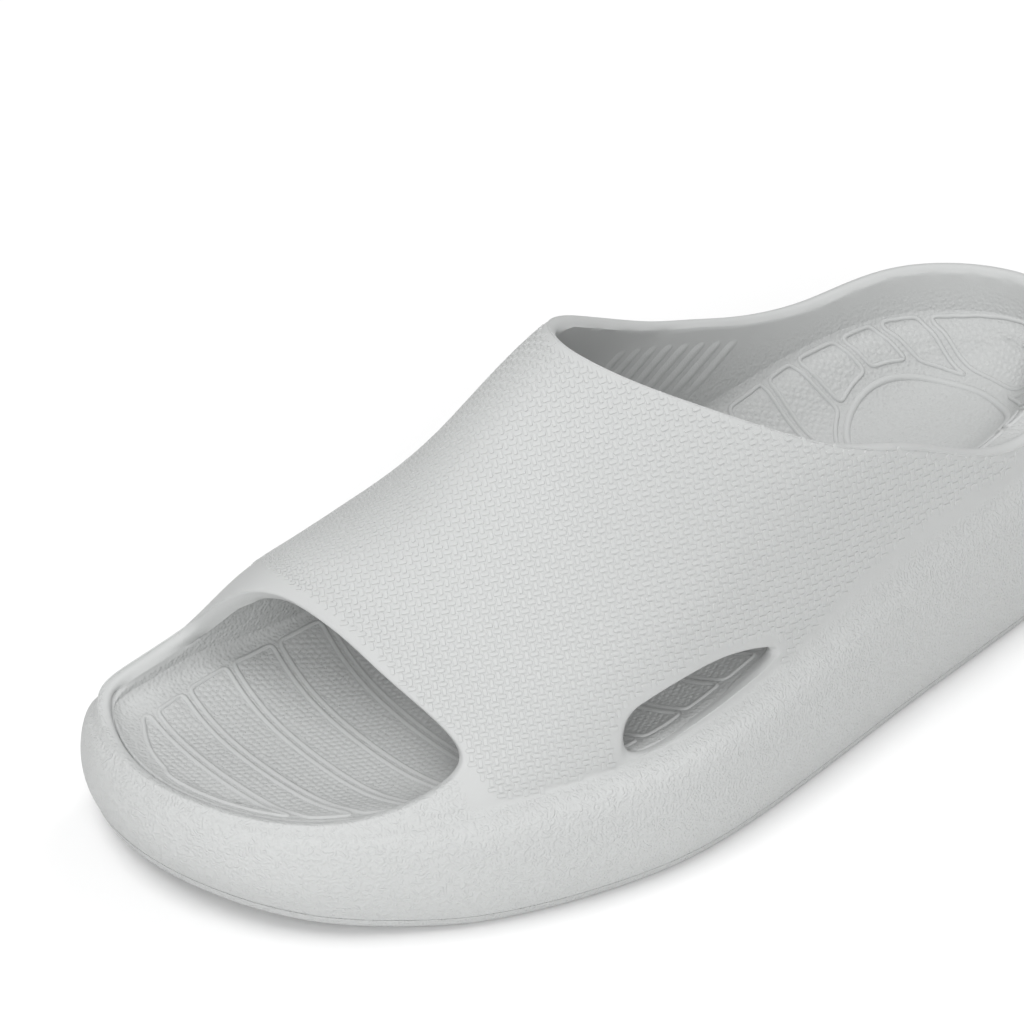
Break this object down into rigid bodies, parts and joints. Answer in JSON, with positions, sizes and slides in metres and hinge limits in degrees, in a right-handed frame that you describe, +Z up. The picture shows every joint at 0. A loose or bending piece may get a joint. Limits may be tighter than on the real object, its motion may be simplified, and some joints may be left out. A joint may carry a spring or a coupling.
{
  "type": "sport slide sandal",
  "caption": "Light grey moulded foam slide for the left foot with an open toe, a broad woven-textured band, a long side slot and a dished heel",
  "frame": {"origin": "Middle of the box around the shoe, at the height of the floor it stands on", "axes": "+Z up, +Y from the toe to the heel, +X toward the outer side of the left foot"},
  "size_m": [0.1158, 0.2802, 0.1071],
  "materials": {
    "upper_foam": "matt moulded foam with an embossed weave",
    "footbed_foam": "matt foam with raised panel outlines",
    "sole_foam": "matt foam tread"
  },
  "bodies": {
    "root": {"upper_and_midsole": "upper_foam", "insole": "footbed_foam", "outsole": "sole_foam"}
  },
  "joints": []
}
